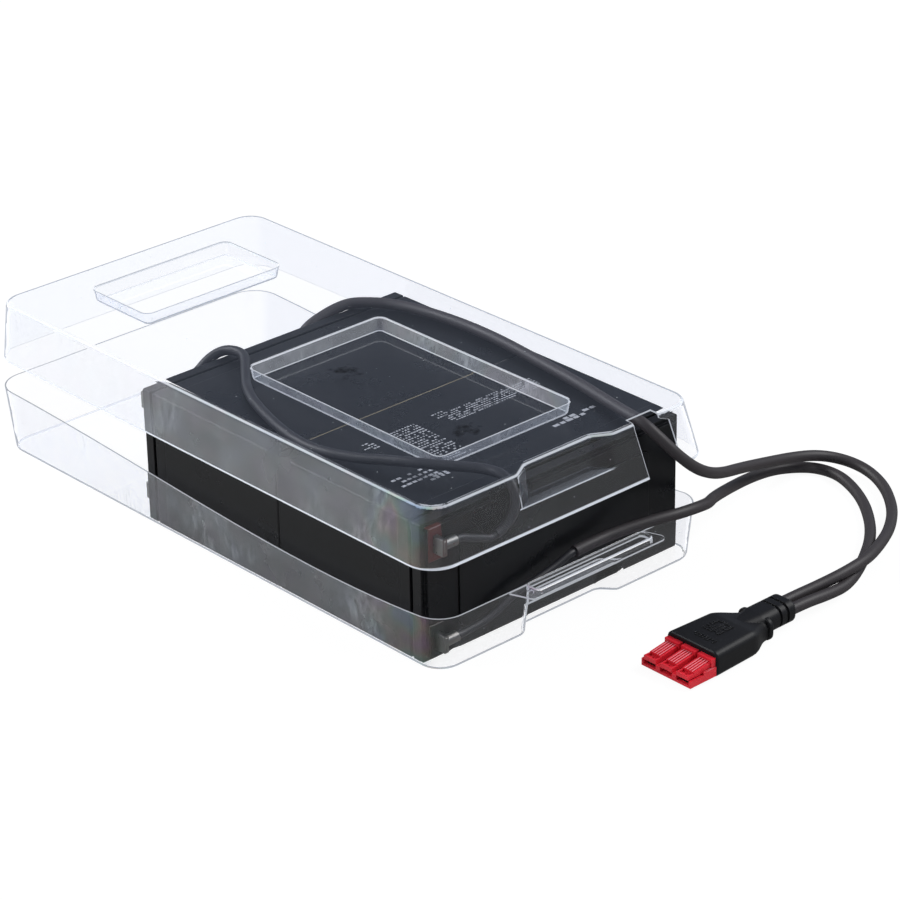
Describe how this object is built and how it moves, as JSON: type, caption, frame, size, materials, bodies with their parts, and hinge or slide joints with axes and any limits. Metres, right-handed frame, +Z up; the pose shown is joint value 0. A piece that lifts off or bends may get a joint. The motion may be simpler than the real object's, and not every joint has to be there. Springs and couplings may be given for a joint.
{
  "type": "ups battery cartridge",
  "caption": "Sealed lead-acid battery blocks in a clear thermoformed tray and cover, wired in series to a keyed flat plug on a short pair of leads; slides into a power supply.",
  "frame": {"origin": "middle of the cartridge's footprint, on the surface that it stands on", "axes": "+Z up, -Y to the front with the finger recess and the cable slot, +X to the right seen from the front"},
  "size_m": [0.2701, 0.3898, 0.0756],
  "materials": {
    "clear_film": "clear thermoformed film with faint scuffs",
    "battery_case": "satin black moulded plastic",
    "valve_rubber": "soft moulded rubber",
    "plate_lead": "dull grey plates",
    "seal_red": "red moulded plastic",
    "seal_black": "black moulded plastic",
    "tinned_tab": "tinned sheet metal",
    "wire_black": "black wire insulation",
    "lead_sleeve": "black flexible sleeve",
    "plug_grip": "satin black overmoulding",
    "plug_red": "red moulded plastic",
    "contact_copper": "plated copper"
  },
  "bodies": {
    "root": {"front_battery_cell_stacks": "plate_lead", "front_battery_container": "battery_case", "front_battery_lid": "battery_case", "front_battery_valve_caps": "valve_rubber", "front_battery_vent_cover": "battery_case", "front_negative_core": "wire_black", "front_negative_receptacle": "tinned_tab", "front_negative_seal": "seal_black", "front_negative_tab": "tinned_tab", "front_positive_core": "wire_black", "front_positive_receptacle": "tinned_tab", "front_positive_seal": "seal_red", "front_positive_tab": "tinned_tab", "lower_tray": "clear_film", "negative_lead": "lead_sleeve", "plug_contacts": "contact_copper", "plug_housing": "plug_red", "plug_overmould": "plug_grip", "positive_lead": "lead_sleeve", "rear_battery_cell_stacks": "plate_lead", "rear_battery_container": "battery_case", "rear_battery_lid": "battery_case", "rear_battery_valve_caps": "valve_rubber", "rear_battery_vent_cover": "battery_case", "rear_negative_core": "wire_black", "rear_negative_receptacle": "tinned_tab", "rear_negative_seal": "seal_black", "rear_negative_tab": "tinned_tab", "rear_positive_core": "wire_black", "rear_positive_receptacle": "tinned_tab", "rear_positive_seal": "seal_red", "rear_positive_tab": "tinned_tab", "series_link": "lead_sleeve", "upper_cover": "clear_film"}
  },
  "joints": []
}
